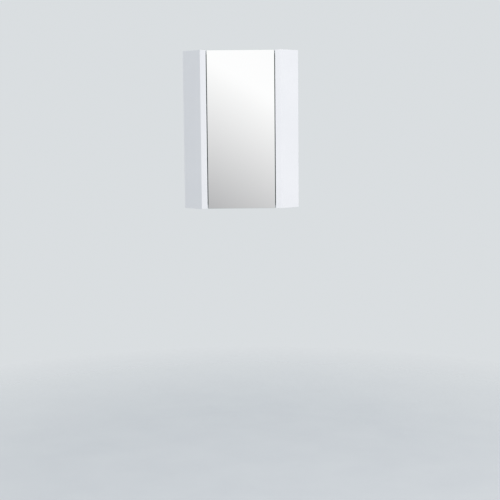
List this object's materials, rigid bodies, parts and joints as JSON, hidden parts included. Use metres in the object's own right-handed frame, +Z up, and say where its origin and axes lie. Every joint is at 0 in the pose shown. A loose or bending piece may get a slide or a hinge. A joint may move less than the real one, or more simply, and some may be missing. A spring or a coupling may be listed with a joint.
{
  "type": "corner mirror cabinet",
  "caption": "Wall cabinet for the corner of a bathroom: five-sided white carcass with shelves, and one flush mirrored door on cup hinges with a push latch.",
  "frame": {"origin": "where the two back faces meet, the inside corner of the walls, level with the underside", "axes": "+Z up, +Y into the corner of the room, so that the mirror faces -Y; +X to the right as seen from the front"},
  "size_m": [0.4412, 0.2885, 0.6],
  "materials": {
    "white_board": "white satin lacquer on fibreboard",
    "mirror": "silvered float glass",
    "foam_tape": "black foam tape",
    "clear_rubber": "clear soft bumper",
    "nickel_steel": "nickel plated, satin",
    "plated_steel": "bright plated steel",
    "zinc_screw": "zinc plated steel",
    "cast_zinc": "cast zinc alloy",
    "beech": "bare fluted beech",
    "latch_plastic": "moulded light grey plastic",
    "plunger_plastic": "moulded dark grey plastic",
    "magnet": "nickel plated magnet",
    "spring_steel": "drawn spring wire"
  },
  "bodies": {
    "carcass": {"shelf_pins": "plated_steel", "cam_locks": "cast_zinc", "cam_bolts": "plated_steel", "dowels": "beech", "back_screws": "zinc_screw", "lower_hinge_arm": "nickel_steel", "lower_hinge_plate": "nickel_steel", "upper_hinge_arm": "nickel_steel", "upper_hinge_plate": "nickel_steel", "plate_screws": "zinc_screw", "arm_screws": "zinc_screw", "latch_body": "latch_plastic", "latch_screws": "zinc_screw", "latch_spring": "spring_steel", "left_side_panel": "white_board", "left_back_panel": "white_board", "right_side_panel": "white_board", "right_back_panel": "white_board", "bottom_board": "white_board", "top_board": "white_board", "lower_shelf": "white_board", "upper_shelf": "white_board"},
    "door": {"door_panel": "white_board", "mirror_glass": "mirror", "mirror_tape": "foam_tape", "door_bumpers": "clear_rubber", "upper_hinge_cup": "nickel_steel", "lower_hinge_cup": "nickel_steel", "cup_screws": "zinc_screw", "hinge_pins": "plated_steel", "strike_plate": "plated_steel", "strike_screw": "zinc_screw"},
    "plunger": {"latch_plunger": "plunger_plastic", "latch_magnet": "magnet"}
  },
  "joints": [
    {"name": "door_hinge", "type": "hinge", "parent": "carcass", "child": "door", "pos_m": [-0.11561, -0.2765, 0.3], "axis": [0, 0, -1], "range_deg": [0, 95]},
    {"name": "latch_press", "type": "slide", "parent": "carcass", "child": "plunger", "axis": [0, 1, 0], "range_m": [0, 0.004], "stiffness_N_per_m": 300, "deforming": ["latch_spring"]}
  ]
}
